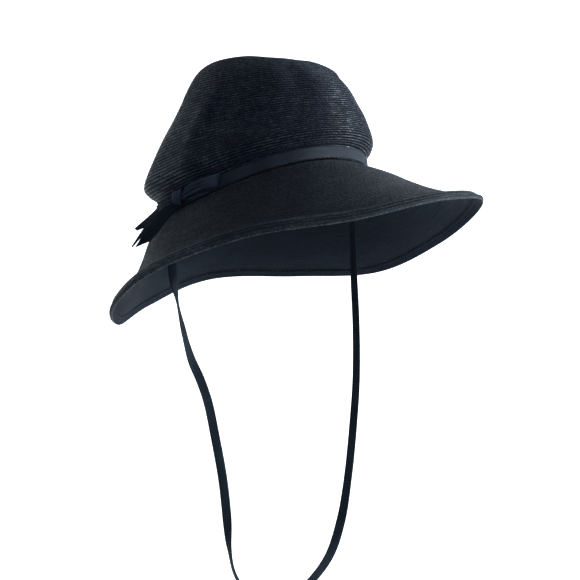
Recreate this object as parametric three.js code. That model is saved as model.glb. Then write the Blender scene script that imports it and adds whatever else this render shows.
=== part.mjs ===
// A floppy hat of fine black straw, with a ribbon band, a bow, a bound rim and a chin strap.
// Millimetres, +Z up, the wearer's front towards -Y and the wearer's left towards +X.
// The origin is the middle of the head opening, and the hat is tipped back as it is worn.
// A turn is an angle round the hat in degrees: 0 in front, 90 at the wearer's left.

import * as THREE from 'three';

const HEAD_HALF_LENGTH = 99; // outside the foot of the crown, front to back
const HEAD_HALF_WIDTH = 81;
const HEAD_LINE_WAVE = 6.6; // the head line rises and falls by this much, twice round
const HEAD_LINE_CREST = -27; // the turn where it is highest
const WAVE_FADES_BY = 60; // the height on the crown where that wave has died out
const FOLDS_START = 11.9; // the crown's folds begin above its ribbon and are full by here
const FOLDS_FULL = 22.9;

const TIPPED_BACK = 11; // degrees
const TIPPED_RIGHT = 3;

const STRAW = 1.5; // thickness of the sewn braid
const GAP = 0.3; // clearance between pieces that touch
const TURN_STEPS = 60;

const BAND_LOW = 0.1;
const BAND_HIGH = 10.9;
const BAND_THICK = 0.9;
const BAND_FOOT_CLEAR = 0.7; // how far the ribbon's edges stand off the crown
const BAND_TOP_CLEAR = 1.1;

const HEM_THICK = 0.8;
const HEM_LEGS = [10, 7, 4]; // distances from the rim where the fold's legs have their points
const HEM_ROUNDING = 0.3;
const EDGE_INSET = HEM_THICK + 2 * GAP; // the brim stops this far from the rim, inside the fold

const STRAP_WIDTH = 8.2;
const STRAP_THICK = 1;
const STRAP_BEVEL = 0.3;
const STRAP_CLEAR = 0.9; // off the crown's inner wall
const STRAP_STEPS = 44;
const LOOP_FACE = new THREE.Vector3(-0.577, -0.817, 0); // square to the upright plane the loop hangs in

const TAIL_THICK = 0.8;

// Sections of the crown, from its foot to its top. shift moves a section towards the back, and
// dip is how many degrees its front lies lower than its back.
const CROWN_ROWS = [
  { height: 0, halfLength: 99, halfWidth: 81, shift: 0, dip: 0 },
  { height: 12, halfLength: 99.5, halfWidth: 81.7, shift: 0, dip: 0 },
  { height: 18, halfLength: 105.5, halfWidth: 88, shift: 0, dip: 0.3 },
  { height: 27, halfLength: 108.5, halfWidth: 91, shift: -0.4, dip: 0.8 },
  { height: 48, halfLength: 98, halfWidth: 83.5, shift: -9, dip: 3 },
  { height: 70, halfLength: 85, halfWidth: 74, shift: -19, dip: 5.4 },
  { height: 90, halfLength: 72.5, halfWidth: 64, shift: -24, dip: 7.6 },
  { height: 104, halfLength: 59.5, halfWidth: 53.5, shift: -23, dip: 9 },
  { height: 113, halfLength: 43, halfWidth: 39.5, shift: -18.5, dip: 9 },
  { height: 119, halfLength: 24, halfWidth: 22, shift: -13, dip: 9 },
  { height: 121.5, halfLength: 0, halfWidth: 0, shift: -6, dip: 9 },
];

// Soft folds of the crown: where each lies, how far it spreads and how deep it is pressed in.
const CROWN_FOLDS = [
  { turn: -93, spread: 6, height: 46, tall: 38, depth: -2.2 },
  { turn: -80, spread: 10, height: 50, tall: 38, depth: 2.6 },
  { turn: -110, spread: 10, height: 40, tall: 26, depth: 1.4 },
  { turn: 36, spread: 30, height: 104, tall: 15, depth: 2.1 },
  { turn: 12, spread: 13, height: 104, tall: 11, depth: -3.6 },
  { turn: 25, spread: 14, height: 76, tall: 20, depth: 2.6 },
  { turn: -140, spread: 34, height: 102, tall: 15, depth: -1.2 },
  { turn: -58, spread: 26, height: 62, tall: 34, depth: 2.2 },
  { turn: -34, spread: 9, height: 86, tall: 20, depth: 2.4 },
  { turn: 128, spread: 22, height: 66, tall: 36, depth: 2.6 },
  { turn: -170, spread: 18, height: 58, tall: 30, depth: 2.2 },
  { turn: 75, spread: 12, height: 88, tall: 18, depth: 1.6 },
];

// Dents of the crown's top, pressed down from above: their middle, how far they spread and how
// deep they are.
const CROWN_DENTS = [
  { x: 27, y: -52, spread: 9, depth: 2.6 },
  { x: 34, y: -66, spread: 7, depth: -0.9 },
  { x: -34, y: 8, spread: 15, depth: -1.5 },
  { x: -4, y: -42, spread: 14, depth: 2.2 },
  { x: 4, y: -60, spread: 7, depth: 1.6 },
];
const DENTS_START = 96; // heights between which the dents grow to their full depth
const DENTS_FULL = 108;

// The rim at every thirtieth degree: how far it stands out from the head line, and how far it
// hangs below it.
const RIM_FIRST_TURN = -180;
const RIM_ROWS = [
  { reach: 58.5, drop: 74 },
  { reach: 55.5, drop: 86 },
  { reach: 65.5, drop: 71.5 },
  { reach: 77.5, drop: 59 },
  { reach: 80, drop: 56.5 },
  { reach: 80.5, drop: 62 },
  { reach: 89, drop: 51.5 },
  { reach: 93, drop: 44.5 },
  { reach: 79.7, drop: 58.8 },
  { reach: 73.2, drop: 72.7 },
  { reach: 73, drop: 66 },
  { reach: 72.5, drop: 57.5 },
];

// The fall of the brim from the head line to the rim, as shares of its reach and its drop.
const BRIM_FALL = [
  { out: 0, down: 0 },
  { out: 0.24, down: 0.235 },
  { out: 0.42, down: 0.475 },
  { out: 0.6, down: 0.685 },
  { out: 0.8, down: 0.855 },
  { out: 1, down: 1 },
];

// Loops and knot of the bow, as oval sections along the band: their middle and half sizes.
const BOW_PUFFS = {
  bow_loop_front: [
    { turn: -77, out: 2.9, height: 6.5, deep: 0.6, tall: 3.5 },
    { turn: -81, out: 3.9, height: 7, deep: 1.5, tall: 6 },
    { turn: -88, out: 4.8, height: 7.2, deep: 2.4, tall: 6.8 },
    { turn: -95, out: 4.9, height: 7.2, deep: 2.6, tall: 6.4 },
    { turn: -99.5, out: 4, height: 7, deep: 1.8, tall: 4.6 },
  ],
  bow_knot: [
    { turn: -99.8, out: 4, height: 7, deep: 2, tall: 4.4 },
    { turn: -101.5, out: 5.4, height: 7, deep: 3.2, tall: 6.4 },
    { turn: -105.5, out: 5.6, height: 7, deep: 3.4, tall: 6.8 },
    { turn: -108, out: 4.4, height: 7, deep: 2, tall: 4.6 },
  ],
  bow_loop_rear: [
    { turn: -108.3, out: 3.9, height: 7.2, deep: 1.8, tall: 4.4 },
    { turn: -113, out: 5.4, height: 5.8, deep: 2.8, tall: 5.8 },
    { turn: -119, out: 5.4, height: 4, deep: 3, tall: 5.6 },
    { turn: -125, out: 4.8, height: 2.2, deep: 2.4, tall: 5.2 },
    { turn: -129, out: 4, height: 1.2, deep: 1, tall: 4 },
  ],
};

// The cut ribbon ends, before the hat is tipped: the middle of the ribbon, and half its width.
const BOW_TAILS = {
  bow_tail_1: [
    { x: -82.6, y: 43.2, z: -1.3, acrossX: 0, acrossY: -1.3, acrossZ: -2.6 },
    { x: -74.8, y: 61.6, z: -5.3, acrossX: -0.2, acrossY: -1.8, acrossZ: -3.1 },
    { x: -70.9, y: 77.6, z: -9.1, acrossX: -0.2, acrossY: -1.8, acrossZ: -2.8 },
    { x: -70.5, y: 90.7, z: -11.9, acrossX: 0, acrossY: -1.5, acrossZ: -1.4 },
  ],
  bow_tail_2: [
    { x: -83.4, y: 39.8, z: -5.3, acrossX: 0.5, acrossY: -1.2, acrossZ: -2.2 },
    { x: -80.7, y: 60.9, z: -11.2, acrossX: 0.3, acrossY: -1.8, acrossZ: -2.3 },
    { x: -78.2, y: 76.8, z: -18.3, acrossX: 0.4, acrossY: -1.1, acrossZ: -1.3 },
    { x: -79.2, y: 90.8, z: -27.2, acrossX: 0.2, acrossY: -0.3, acrossZ: -0.5 },
  ],
  bow_tail_3: [
    { x: -86.7, y: 28.3, z: -4.6, acrossX: 0.5, acrossY: -1.9, acrossZ: -2.7 },
    { x: -91.9, y: 37.8, z: -11.4, acrossX: 0.6, acrossY: -3.6, acrossZ: -4 },
    { x: -94.8, y: 48.3, z: -20.2, acrossX: 0.7, acrossY: -3.8, acrossZ: -3.9 },
    { x: -96, y: 62.3, z: -30.6, acrossX: 2, acrossY: -7.8, acrossZ: 1.2 },
  ],
};

// The strap hangs from both sides of the head opening. The first and last two points lie on
// the crown's inner wall before the hat is tipped, and the others hang in the open.
const STRAP_TOP = 9;
const STRAP_LEAVES = -4;
const STRAP_RIGHT_TURN = -120;
const STRAP_LEFT_TURN = 62;
const STRAP_HANGS = [
  [-66, 47.5, -40], [-63.2, 48.8, -62], [-59.3, 48.6, -86], [-55.8, 45, -112], [-48.7, 39.9, -145],
  [-42.3, 34.7, -164], [-36.5, 30.9, -184], [-31.7, 26.9, -214], [-26.6, 22.8, -250],
  [-23.4, 20.5, -285], [-22, 19, -312], [-18, 15, -336], [-9, 6, -353], [6, -8, -361],
  [20, -20, -356], [33.5, -31.7, -340], [44.1, -41.4, -320], [51.9, -48.2, -289],
  [57.6, -51.8, -250], [61.9, -54.2, -205], [66.1, -54.4, -165], [68.5, -52.7, -120],
  [69, -50, -75], [69, -48.5, -35],
];

// How far the strap's face is turned away from the front of its loop, along its length.
const STRAP_TWIST = [
  { share: 0, turned: 80 },
  { share: 0.03, turned: 80 },
  { share: 0.072, turned: 14 },
  { share: 0.114, turned: -64 },
  { share: 0.148, turned: -43 },
  { share: 0.2, turned: 0 },
  { share: 0.34, turned: 10 },
  { share: 0.41, turned: 84 },
  { share: 0.47, turned: 60 },
  { share: 0.53, turned: 12 },
  { share: 0.66, turned: -50 },
  { share: 0.86, turned: -60 },
  { share: 0.97, turned: -78 },
  { share: 1, turned: -78 },
];

const BLACK_STRAW = new THREE.MeshStandardMaterial({ color: 0x14161c, roughness: 0.5, metalness: 0 });
const BLACK_RIBBON = new THREE.MeshStandardMaterial({ color: 0x0d0f15, roughness: 0.75, metalness: 0 });

const radians = THREE.MathUtils.degToRad;
const UP = new THREE.Vector3(0, 0, 1);

function between(a, b, c, d, share) {
  const bend = 2 * a - 5 * b + 4 * c - d + share * (3 * (b - c) + d - a);
  return b + 0.5 * share * (c - a + share * bend);
}

function blendRows(rows, share) {
  const blended = {};
  for (const name of Object.keys(rows[1])) {
    const [a, b, c, d] = rows.map((row) => row[name]);
    blended[name] = between(a, b, c, d, share);
  }
  return blended;
}

// A smooth curve through the rows. The rows beyond both ends carry on straight.
function openRows(rows, place) {
  const first = Math.min(Math.max(Math.floor(place), 0), rows.length - 2);
  const beyond = (end, inner) => {
    const row = {};
    for (const name of Object.keys(end)) row[name] = 2 * end[name] - inner[name];
    return row;
  };
  const before = rows[first - 1] ?? beyond(rows[0], rows[1]);
  const after = rows[first + 2] ?? beyond(rows[rows.length - 1], rows[rows.length - 2]);
  return blendRows([before, rows[first], rows[first + 1], after], place - first);
}

function closedRows(rows, place) {
  const count = rows.length;
  const first = Math.floor(place);
  const row = (step) => rows[(((first + step) % count) + count) % count];
  return blendRows([row(-1), row(0), row(1), row(2)], place - first);
}

function headLineRise(turn) {
  return HEAD_LINE_WAVE * Math.cos(2 * radians(turn - HEAD_LINE_CREST));
}

// The way straight out from the head line.
function outward(turn) {
  const angle = radians(turn);
  const x = HEAD_HALF_LENGTH * Math.sin(angle);
  const y = -HEAD_HALF_WIDTH * Math.cos(angle);
  return new THREE.Vector3(x, y, 0).normalize();
}

// A point at a distance out from the foot of the crown and a height over the head line.
function byHeadLine(turn, out, height) {
  const angle = radians(turn);
  const x = HEAD_HALF_WIDTH * Math.sin(angle);
  const y = -HEAD_HALF_LENGTH * Math.cos(angle);
  const point = new THREE.Vector3(x, y, 0).addScaledVector(outward(turn), out);
  return point.setZ(headLineRise(turn) + height);
}

function foldDepth(turn, height) {
  let depth = 0;
  for (const fold of CROWN_FOLDS) {
    const away = ((((turn - fold.turn) % 360) + 540) % 360) - 180;
    const sideways = away / fold.spread;
    const upwards = (height - fold.height) / fold.tall;
    depth += fold.depth * Math.exp(-sideways * sideways - upwards * upwards * upwards * upwards);
  }
  return depth * THREE.MathUtils.smoothstep(height, FOLDS_START, FOLDS_FULL);
}

function dentDepth(x, y, height) {
  let depth = 0;
  for (const dent of CROWN_DENTS) {
    const away = Math.hypot(x - dent.x, y - dent.y) / dent.spread;
    depth += dent.depth * Math.exp(-away * away);
  }
  return depth * THREE.MathUtils.smoothstep(height, DENTS_START, DENTS_FULL);
}

// The outside of the crown. The top row is mirrored beyond itself, so the top is round.
function crownSurface(turn, place) {
  const last = CROWN_ROWS[CROWN_ROWS.length - 1];
  const inner = CROWN_ROWS[CROWN_ROWS.length - 2];
  const mirrored = { ...inner, halfLength: -inner.halfLength, halfWidth: -inner.halfWidth };
  const rows = [...CROWN_ROWS, mirrored];
  const row = place >= CROWN_ROWS.length - 1 ? last : openRows(rows, place);
  const angle = radians(turn);
  const inwards = foldDepth(turn, row.height) * Math.min(1, row.halfWidth / inner.halfWidth);
  const x = (row.halfWidth - inwards) * Math.sin(angle);
  const y = row.shift - (row.halfLength - inwards) * Math.cos(angle);
  const wave = headLineRise(turn) * Math.max(0, 1 - row.height / WAVE_FADES_BY);
  const high = row.height + wave + y * Math.tan(radians(row.dip));
  return new THREE.Vector3(x, y, high - dentDepth(x, y, row.height));
}

function rimRow(turn) {
  return closedRows(RIM_ROWS, ((turn - RIM_FIRST_TURN) / 360) * RIM_ROWS.length);
}

// The top of the brim. share is 0 at the head line and 1 at the rim.
function brimSurface(turn, share) {
  const rim = rimRow(turn);
  const fall = openRows(BRIM_FALL, share * (BRIM_FALL.length - 1));
  return byHeadLine(turn, rim.reach * fall.out, -GAP - rim.drop * fall.down);
}

// The surface's own direction out of the hat, from small steps along it.
function surfaceNormal(surface, turn, place, reach) {
  const step = 0.01;
  const low = Math.max(place - step, 0);
  const high = Math.min(place + step, reach);
  const along = surface(turn, high).sub(surface(turn, low));
  const round = surface(turn + 1, place).sub(surface(turn - 1, place));
  return round.cross(along).normalize();
}

function signedVolume(points, triangles) {
  let volume = 0;
  for (const [a, b, c] of triangles) volume += points[a].dot(points[b].clone().cross(points[c])) / 6;
  return volume;
}

// A named mesh from points and triangles, with its faces turned outwards.
function solid(name, points, triangles, material) {
  const inside = signedVolume(points, triangles) < 0;
  const index = triangles.flatMap(([a, b, c]) => (inside ? [a, c, b] : [a, b, c]));
  const places = points.flatMap((point) => point.toArray());
  const geometry = new THREE.BufferGeometry();
  geometry.setAttribute('position', new THREE.Float32BufferAttribute(places, 3));
  geometry.setIndex(index);
  geometry.computeVertexNormals();
  const mesh = new THREE.Mesh(geometry, material);
  mesh.name = name;
  return mesh;
}

function joinRings(triangles, one, other, count, closed) {
  const steps = closed ? count : count - 1;
  for (let k = 0; k < steps; k += 1) {
    const next = (k + 1) % count;
    triangles.push([one + k, other + k, other + next], [one + k, other + next, one + next]);
  }
}

// A closed section carried once round the hat.
function ringSolid(name, sectionAt, material) {
  const points = [];
  const triangles = [];
  let count = 0;
  for (let step = 0; step < TURN_STEPS; step += 1) {
    const section = sectionAt((360 * step) / TURN_STEPS);
    count = section.length;
    points.push(...section);
  }
  for (let step = 0; step < TURN_STEPS; step += 1) {
    const next = (step + 1) % TURN_STEPS;
    joinRings(triangles, step * count, next * count, count, true);
  }
  return solid(name, points, triangles, material);
}

// Closed sections joined one to the next, with flat ends.
function loftSolid(name, sections, material) {
  const count = sections[0].length;
  const points = sections.flat();
  const triangles = [];
  for (let k = 0; k < sections.length - 1; k += 1) {
    joinRings(triangles, k * count, (k + 1) * count, count, true);
  }
  const end = (sections.length - 1) * count;
  for (let k = 1; k < count - 1; k += 1) {
    triangles.push([0, k, k + 1], [end, end + k + 1, end + k]);
  }
  return solid(name, points, triangles, material);
}

// Crown: an outer and an inner skin, joined at the foot, each closed by one point at the top.
function makeCrown() {
  const places = [0, 1, 1.4, 1.8, 2.3, 3, 3.6, 4.3, 5, 6, 6.6, 7.3, 8, 8.5, 9, 9.5];
  const topPlace = CROWN_ROWS.length - 1;
  const points = [];
  const triangles = [];
  const skinPoint = (turn, place, depth) => {
    const point = crownSurface(turn, place);
    const normal = surfaceNormal(crownSurface, turn, place, topPlace);
    if (place < 1) normal.setZ(0).normalize();
    return point.addScaledVector(normal, -depth);
  };
  for (const depth of [0, STRAW]) {
    for (const place of places) {
      for (let step = 0; step < TURN_STEPS; step += 1) {
        points.push(skinPoint((360 * step) / TURN_STEPS, place, depth));
      }
    }
  }
  const ring = (skin, level) => (skin * places.length + level) * TURN_STEPS;
  for (const skin of [0, 1]) {
    for (let level = 0; level < places.length - 1; level += 1) {
      const lower = ring(skin, level + (skin ? 1 : 0));
      const upper = ring(skin, level + (skin ? 0 : 1));
      joinRings(triangles, lower, upper, TURN_STEPS, true);
    }
  }
  joinRings(triangles, ring(1, 0), ring(0, 0), TURN_STEPS, true);
  const top = crownSurface(0, topPlace);
  points.push(top, top.clone().addScaledVector(UP, -STRAW));
  for (const skin of [0, 1]) {
    const rim = ring(skin, places.length - 1);
    const apex = points.length - 2 + skin;
    for (let k = 0; k < TURN_STEPS; k += 1) {
      const next = (k + 1) % TURN_STEPS;
      triangles.push(skin ? [rim + k, rim + next, apex] : [rim + k, apex, rim + next]);
    }
  }
  return solid('crown', points, triangles, BLACK_STRAW);
}

// Brim: one sheet from under the foot of the crown to the rim. It stops short of the rim's
// edge, which the hem covers.
const BRIM_SHARES = [0.05, 0.13, 0.24, 0.36, 0.5, 0.66, 0.83];

function brimEdgeShare(turn, inset) {
  const rim = rimRow(turn);
  return 1 - inset / Math.hypot(rim.reach, rim.drop);
}

function brimPoint(turn, share, depth) {
  const normal = surfaceNormal(brimSurface, turn, share, 1);
  return brimSurface(turn, share).addScaledVector(normal, -depth);
}

function makeBrim() {
  return ringSolid('brim', (turn) => {
    const shares = [...BRIM_SHARES, brimEdgeShare(turn, EDGE_INSET)];
    const upper = shares.map((share) => brimPoint(turn, share, 0));
    const lower = shares.map((share) => brimPoint(turn, share, STRAW));
    const foot = [byHeadLine(turn, -STRAW, -GAP), byHeadLine(turn, 0, -GAP)];
    return [...foot, ...upper, ...lower.reverse(), byHeadLine(turn, -STRAW, -GAP - STRAW)];
  }, BLACK_STRAW);
}

// Hem: the folded edge, a U that holds the brim's edge between its two legs.
function makeHem() {
  const thickness = HEM_THICK + GAP;
  const reach = HEM_THICK + HEM_ROUNDING;
  return ringSolid('brim_hem', (turn) => {
    const at = (inset, depth) => brimPoint(turn, brimEdgeShare(turn, inset), depth);
    const leg = (depth) => HEM_LEGS.map((inset) => at(inset, depth));
    return [
      ...leg(-thickness),
      at(EDGE_INSET, -thickness),
      at(HEM_ROUNDING, -HEM_ROUNDING),
      at(HEM_ROUNDING, STRAW + HEM_ROUNDING),
      at(EDGE_INSET, STRAW + thickness),
      ...leg(STRAW + thickness).reverse(),
      ...leg(STRAW + GAP),
      at(reach, STRAW + GAP),
      at(reach, -GAP),
      ...leg(-GAP).reverse(),
    ];
  }, BLACK_STRAW);
}

// Band: the ribbon round the foot of the crown.
function makeBand() {
  return ringSolid('hat_band', (turn) => [
    byHeadLine(turn, BAND_FOOT_CLEAR, BAND_LOW),
    byHeadLine(turn, BAND_FOOT_CLEAR + BAND_THICK, BAND_LOW),
    byHeadLine(turn, BAND_TOP_CLEAR + BAND_THICK, BAND_HIGH),
    byHeadLine(turn, BAND_TOP_CLEAR, BAND_HIGH),
  ], BLACK_RIBBON);
}

// Bow: its loops and its knot are puffs of ribbon that lie along the band.
function makePuff(name, rows) {
  const stepsPerRow = 2;
  const sides = 8;
  const sections = [];
  for (let k = 0; k <= (rows.length - 1) * stepsPerRow; k += 1) {
    const row = openRows(rows, k / stepsPerRow);
    const section = [];
    for (let side = 0; side < sides; side += 1) {
      const angle = (2 * Math.PI * side) / sides;
      const out = row.out + row.deep * Math.cos(angle);
      section.push(byHeadLine(row.turn, out, row.height + row.tall * Math.sin(angle)));
    }
    sections.push(section);
  }
  return loftSolid(name, sections, BLACK_RIBBON);
}

// The cut ends of the bow's ribbon.
function makeTail(name, rows) {
  const stepsPerRow = 3;
  const last = (rows.length - 1) * stepsPerRow;
  const middle = (k) => {
    const row = openRows(rows, k / stepsPerRow);
    return new THREE.Vector3(row.x, row.y, row.z);
  };
  const sections = [];
  for (let k = 0; k <= last; k += 1) {
    const row = openRows(rows, k / stepsPerRow);
    const across = new THREE.Vector3(row.acrossX, row.acrossY, row.acrossZ);
    const along = middle(Math.min(k + 1, last)).sub(middle(Math.max(k - 1, 0)));
    const thick = along.cross(across).setLength(TAIL_THICK / 2);
    const corner = (side, face) => middle(k).addScaledVector(across, side).addScaledVector(thick, face);
    sections.push([corner(1, 1), corner(-1, 1), corner(-1, -1), corner(1, -1)]);
  }
  return loftSolid(name, sections, BLACK_RIBBON);
}

// Strap: one flat ribbon that hangs in a long loop under the hat, straight down in the world.
function strapRoute(tipped) {
  const out = -STRAW - STRAP_CLEAR - STRAP_THICK / 2;
  const onWall = (turn, height) => byHeadLine(turn, out, height).applyMatrix4(tipped);
  const points = [
    onWall(STRAP_RIGHT_TURN, STRAP_TOP),
    onWall(STRAP_RIGHT_TURN, STRAP_LEAVES),
    ...STRAP_HANGS.map(([x, y, z]) => new THREE.Vector3(x, y, z)),
    onWall(STRAP_LEFT_TURN, STRAP_LEAVES),
    onWall(STRAP_LEFT_TURN, STRAP_TOP),
  ];
  const route = new THREE.CatmullRomCurve3(points, false, 'centripetal');
  route.computeFrenetFrames = (steps) => {
    const frames = { tangents: [], normals: [], binormals: [] };
    for (let k = 0; k <= steps; k += 1) {
      const share = k / steps;
      const tangent = route.getTangentAt(share);
      const face = LOOP_FACE.clone().projectOnPlane(tangent).normalize();
      const after = Math.max(STRAP_TWIST.findIndex((row) => row.share >= share), 1);
      const [low, high] = [STRAP_TWIST[after - 1], STRAP_TWIST[after]];
      const ease = THREE.MathUtils.smoothstep(share, low.share, high.share);
      face.applyAxisAngle(tangent, radians(low.turned + (high.turned - low.turned) * ease));
      frames.tangents.push(tangent);
      frames.normals.push(face.clone().cross(tangent).normalize());
      frames.binormals.push(face);
    }
    return frames;
  };
  return route;
}

function makeStrap(tipped) {
  const halfWidth = STRAP_WIDTH / 2;
  const halfThick = STRAP_THICK / 2;
  const section = new THREE.Shape([
    [halfWidth, STRAP_BEVEL - halfThick], [halfWidth, halfThick - STRAP_BEVEL],
    [halfWidth - STRAP_BEVEL, halfThick], [STRAP_BEVEL - halfWidth, halfThick],
    [-halfWidth, halfThick - STRAP_BEVEL], [-halfWidth, STRAP_BEVEL - halfThick],
    [STRAP_BEVEL - halfWidth, -halfThick], [halfWidth - STRAP_BEVEL, -halfThick],
  ].map(([x, y]) => new THREE.Vector2(x, y)));
  const route = strapRoute(tipped);
  const geometry = new THREE.ExtrudeGeometry(section, { steps: STRAP_STEPS, extrudePath: route });
  const mesh = new THREE.Mesh(geometry, BLACK_RIBBON);
  mesh.name = 'chin_strap';
  return mesh;
}

const worn = new THREE.Group();
worn.rotation.set(-radians(TIPPED_BACK), -radians(TIPPED_RIGHT), 0);
worn.updateMatrix();
worn.add(makeCrown(), makeBrim(), makeHem(), makeBand());
for (const [name, rows] of Object.entries(BOW_PUFFS)) worn.add(makePuff(name, rows));
for (const [name, rows] of Object.entries(BOW_TAILS)) worn.add(makeTail(name, rows));

const hat = new THREE.Group();
hat.add(worn, makeStrap(worn.matrix));

export default hat;
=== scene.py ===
# %% [markdown]
# # A floppy straw hat with a chin strap
#
# The real hat is one long braid of fine black straw. A machine sews it round and round from the
# middle of the crown, each row lapped over the last, and a steam block then gives it its form. A
# narrow ribbed ribbon hides the line between crown and brim, and another ribbon hangs as a strap.
#
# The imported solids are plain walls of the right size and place. This lesson replaces each of
# them with a piece that has the rows, folds and stitches, in the very same space.

# %% Load the solids as a fixed frame
import math

import bmesh
import bpy
import numpy as np
from mathutils import Matrix, Vector


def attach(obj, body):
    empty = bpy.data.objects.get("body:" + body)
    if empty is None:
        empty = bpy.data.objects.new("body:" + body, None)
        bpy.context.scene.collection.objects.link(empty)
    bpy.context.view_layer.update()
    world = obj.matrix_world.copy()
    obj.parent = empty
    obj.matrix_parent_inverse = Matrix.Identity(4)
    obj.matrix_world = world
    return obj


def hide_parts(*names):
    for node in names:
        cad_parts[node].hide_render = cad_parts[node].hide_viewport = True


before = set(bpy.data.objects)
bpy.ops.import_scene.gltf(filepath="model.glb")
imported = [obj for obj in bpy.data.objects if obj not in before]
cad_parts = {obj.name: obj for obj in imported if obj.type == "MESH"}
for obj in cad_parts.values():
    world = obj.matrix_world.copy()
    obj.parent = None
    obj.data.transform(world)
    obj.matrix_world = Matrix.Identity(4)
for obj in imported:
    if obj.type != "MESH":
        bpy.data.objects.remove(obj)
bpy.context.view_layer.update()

MM = 0.001
print("nodes:", ", ".join(sorted(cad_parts)))

# %% [markdown]
# ## The camera
#
# A long lens far away keeps the hat's proportions, as in a shop photograph. It stands level, a
# little below the head line, and looks at the wearer's right front. Its place was worked out
# from the oval of the ribbon, so it isn't guessed.

# %% Camera
VIEW_TURN = -52  # degrees from straight behind the wearer's front
VIEW_DISTANCE = 1.3
VIEW_SIDE = 0.0246
VIEW_DROP = 0.0856  # how far the camera stands under the head line
VIEW_EDGE = 0.215, 0.26  # sideways over ahead, where the glow of the backdrop fades out
camera_data = bpy.data.cameras.new("studio_camera")
camera_data.lens = 91.8
camera_data.sensor_width = 36
camera = bpy.data.objects.new("studio_camera", camera_data)
bpy.context.scene.collection.objects.link(camera)
ahead = Vector((math.sin(math.radians(-VIEW_TURN)), math.cos(math.radians(VIEW_TURN)), 0))
right = Vector((ahead.y, -ahead.x, 0))
camera.location = -VIEW_DISTANCE * ahead + VIEW_SIDE * right - Vector((0, 0, VIEW_DROP))
camera.rotation_euler = (math.radians(90), 0, math.radians(VIEW_TURN))
bpy.context.scene.camera = camera
bpy.context.scene.view_settings.view_transform = "Standard"
print("camera at", [round(x, 4) for x in camera.location])

# %% [markdown]
# ## Curves through a table of rows
#
# Every shape on this hat is soft, so each is a short table of sections with a smooth curve
# through them. The curve passes through every row, which makes a table easy to correct: the
# row that is wrong is the one to change. All rows are worked out at once as arrays, since the
# braid needs about a hundred thousand points.

# %% Smooth tables
def smooth_rows(rows, place, closed=False):
    """A smooth curve through the rows. place 0 is the first row, 1 the second and so on."""
    rows = np.asarray(rows, float)
    place = np.asarray(place, float)
    if closed:
        first = np.floor(place).astype(int)
        a, b, c, d = (rows[(first + step) % len(rows)] for step in (-1, 0, 1, 2))
    else:
        longer = np.vstack([2 * rows[0] - rows[1], rows, 2 * rows[-1] - rows[-2]])
        first = np.clip(np.floor(place).astype(int), 0, len(rows) - 2)
        a, b, c, d = (longer[first + step] for step in range(4))
    t = (place - first)[..., None]
    return b + 0.5 * t * (c - a + t * (2 * a - 5 * b + 4 * c - d + t * (3 * (b - c) + d - a)))


def smoothstep(x, low, high):
    t = np.clip((x - low) / (high - low), 0, 1)
    return t * t * (3 - 2 * t)


def unit(vectors):
    return vectors / np.maximum(np.linalg.norm(vectors, axis=-1, keepdims=True), 1e-12)


# %% [markdown]
# ## Meshes from sections
#
# All the pieces are thin things with two sides: a braid, a fold, a ribbon. Each is made as a
# closed section carried along a line, so it has a true thickness and no open edge. A flat map
# is laid over it at the same time, in millimetres along and rows or millimetres across, and
# the weave follows that map round every bend.

# %% Mesh helpers
def make_piece(name, sections, across_map, along_map, finish, loop=False, nodes=()):
    """sections is [station, point round the section, xyz] in mm, in the row frame. across_map has
    one value more than a section has points, and along_map one row more if the stations loop."""
    stations, count = sections.shape[:2]
    points = sections.reshape(-1, 3) * MM
    steps = stations if loop else stations - 1
    station, side = np.meshgrid(np.arange(steps), np.arange(count), indexing="ij")
    after, beside = (station + 1) % stations, (side + 1) % count
    quads = np.stack([station * count + side, after * count + side,
                      after * count + beside, station * count + beside], -1).reshape(-1, 4)
    across_map = np.broadcast_to(across_map, (stations + 1, count + 1))
    along_map = np.broadcast_to(along_map, (stations + 1, count + 1))
    corners = [(station, side), (station + 1, side), (station + 1, side + 1), (station, side + 1)]
    flat = np.stack([np.stack([along_map[c], across_map[c]], -1) for c in corners], 2)
    faces = quads.tolist()
    flat = flat.reshape(-1, 2)
    if not loop:
        half = count // 2
        for end, turned in ((0, False), (stations - 1, True)):
            for k in range(half - 1):
                cap = [end * count + i for i in (k, k + 1, count - 2 - k, count - 1 - k)]
                faces.append(cap[::-1] if turned else cap)
                corner = [(along_map[end, 0], across_map[end, i]) for i in (k, k + 1, k + 1, k)]
                flat = np.vstack([flat, corner[::-1] if turned else corner])
    mesh = bpy.data.meshes.new(name)
    mesh.from_pydata(points.tolist(), [], faces)
    layer = mesh.uv_layers.new(name="braid")
    layer.data.foreach_set("uv", flat.astype(np.float32).ravel())
    return add_piece(name, mesh, finish, nodes)


def add_piece(name, mesh, finish, nodes=()):
    """Turns the faces outwards, gives the piece its finish and hides the solids it stands for."""
    shape = bmesh.new()
    shape.from_mesh(mesh)
    bmesh.ops.remove_doubles(shape, verts=shape.verts, dist=2e-7)
    bmesh.ops.dissolve_degenerate(shape, dist=1e-8, edges=shape.edges)
    bmesh.ops.recalc_face_normals(shape, faces=shape.faces)
    if shape.calc_volume(signed=True) < 0:
        bmesh.ops.reverse_faces(shape, faces=shape.faces)
    shape.to_mesh(mesh)
    shape.free()
    mesh.materials.append(finish)
    mesh.polygons.foreach_set("use_smooth", [True] * len(mesh.polygons))
    piece = bpy.data.objects.new(name, mesh)
    bpy.context.scene.collection.objects.link(piece)
    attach(piece, "root")
    if nodes:
        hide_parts(*nodes)
    print(f"{name}: {sum(len(p.vertices) - 2 for p in mesh.polygons)} triangles")
    return piece


def grid_normals(grid, loop):
    """Directions square to a grid of points [station, across, xyz]."""
    if loop:
        along = np.roll(grid, -1, 0) - np.roll(grid, 1, 0)
    else:
        along = np.gradient(grid, axis=0)
    return unit(np.cross(along, np.gradient(grid, axis=1)))


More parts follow.
